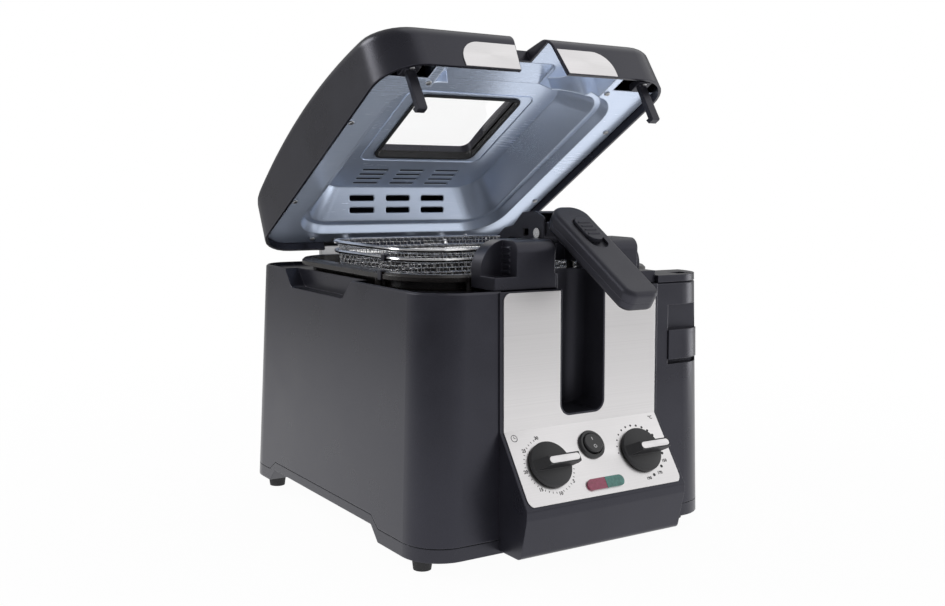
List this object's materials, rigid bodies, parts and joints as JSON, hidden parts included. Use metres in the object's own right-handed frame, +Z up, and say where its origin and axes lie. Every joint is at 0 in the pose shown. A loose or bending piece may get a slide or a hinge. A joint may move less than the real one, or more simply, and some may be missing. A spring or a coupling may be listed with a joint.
{
  "type": "deep fryer",
  "caption": "Household deep fryer with a hinged window lid, a lift-out oil bowl, a wire basket on a folding handle, and a sloping front panel with knobs, a rocker switch and lamps.",
  "frame": {"origin": "the middle of the whole length and width, with the handle counted in, on the worktop", "axes": "+X to the right seen from the front, +Y to the back, +Z up"},
  "size_m": [0.2908, 0.4046, 0.413],
  "materials": {
    "dark_plastic": "fine satin grain",
    "switch_plastic": "smooth satin",
    "stainless_trim": "brushed",
    "stainless_lining": "satin pressed",
    "nonstick_bowl": "black non-stick coating",
    "plated_wire": "bright plated",
    "dark_metal": "dark satin coat",
    "steel_fittings": "plain steel",
    "rubber_black": "matt",
    "window": "clear",
    "lens_red": "clear red",
    "lens_green": "clear green",
    "filter_mat": "felted",
    "unit_case": "plain"
  },
  "bodies": {
    "base": {"body_shell": "dark_plastic", "base_tray": "dark_plastic", "rubber_feet": "rubber_black", "control_housing": "dark_plastic", "fascia_plate": "stainless_trim", "handle_channel": "dark_plastic", "control_head": "dark_plastic", "latch_cap": "dark_plastic", "oil_bowl": "nonstick_bowl", "heating_element": "steel_fittings", "thermostat_probe": "steel_fittings", "timer_unit": "unit_case", "thermostat_unit": "unit_case", "rocker_bezel": "switch_plastic", "switch_body": "switch_plastic", "red_lens": "lens_red", "green_lens": "lens_green", "hinge_brackets": "steel_fittings", "hinge_pins": "steel_fittings", "lid_spring": "steel_fittings", "left_catch": "dark_plastic", "cord_inlet": "rubber_black", "terminal_block": "switch_plastic", "lamp_holder": "switch_plastic", "bowl_clips": "switch_plastic"},
    "lid": {"lid_shell": "dark_plastic", "lid_pan": "stainless_lining", "window_gasket": "rubber_black", "window_glass": "window", "lid_trim_left": "stainless_trim", "lid_trim_right": "stainless_trim", "left_hook": "dark_plastic", "right_hook": "dark_plastic", "lid_arms": "steel_fittings", "lid_filter": "filter_mat", "filter_cover": "dark_plastic"},
    "basket": {"basket_mesh": "plated_wire", "basket_rim_wires": "plated_wire", "basket_clips": "switch_plastic", "basket_bracket": "dark_metal", "handle_pin": "plated_wire"},
    "handle": {"handle_top": "dark_plastic", "handle_bottom": "dark_plastic"},
    "slider": {"slider_button": "dark_plastic"},
    "timer": {"timer_knob": "dark_plastic", "timer_pointer": "plated_wire"},
    "thermostat": {"thermostat_knob": "dark_plastic", "thermostat_pointer": "plated_wire"},
    "rocker": {"rocker_paddle": "switch_plastic"},
    "button": {"open_button": "dark_plastic"},
    "latch": {"latch_slider": "dark_plastic"}
  },
  "joints": [
    {"name": "lid_hinge", "type": "hinge", "parent": "base", "child": "lid", "pos_m": [0, 0.1899, 0.1986], "axis": [1, 0, 0], "range_deg": [0, 31.5], "stiffness_Nm_per_rad": 1.45, "springref_deg": -94.54},
    {"name": "basket_lift", "type": "slide", "parent": "base", "child": "basket", "axis": [0, 0, 1], "range_m": [-0.018, 0]},
    {"name": "handle_fold", "type": "hinge", "parent": "basket", "child": "handle", "pos_m": [0, -0.0878, 0.2525], "axis": [1, 0, 0], "range_deg": [0, 58]},
    {"name": "slider_push", "type": "slide", "parent": "handle", "child": "slider", "axis": [0, -0.8522, -0.5232], "range_m": [0, 0.007], "stiffness_N_per_m": 150, "springref_m": -0.004},
    {"name": "timer_turn", "type": "hinge", "parent": "base", "child": "timer", "pos_m": [-0.0455, -0.15079, 0.08008], "axis": [0, -0.8188, 0.5741], "range_deg": [-45, 225]},
    {"name": "thermostat_turn", "type": "hinge", "parent": "base", "child": "thermostat", "pos_m": [0.0455, -0.15079, 0.08008], "axis": [0, -0.8188, 0.5741], "range_deg": [-45, 225]},
    {"name": "rocker_tilt", "type": "hinge", "parent": "base", "child": "rocker", "pos_m": [0, -0.14448, 0.08908], "axis": [1, 0, 0], "range_deg": [0, 14]},
    {"name": "button_press", "type": "slide", "parent": "base", "child": "button", "axis": [0, 0, -1], "range_m": [0, 0.004], "stiffness_N_per_m": 500, "springref_m": -0.004},
    {"name": "latch_draw", "type": "slide", "parent": "base", "child": "latch", "axis": [0, 1, 0], "range_m": [0, 0.003]}
  ],
  "couplings": [
    {"joint": "basket_lift", "follows": "lid_hinge", "m_per_rad": -0.0327},
    {"joint": "latch_draw", "follows": "button_press", "ratio": 0.75}
  ]
}
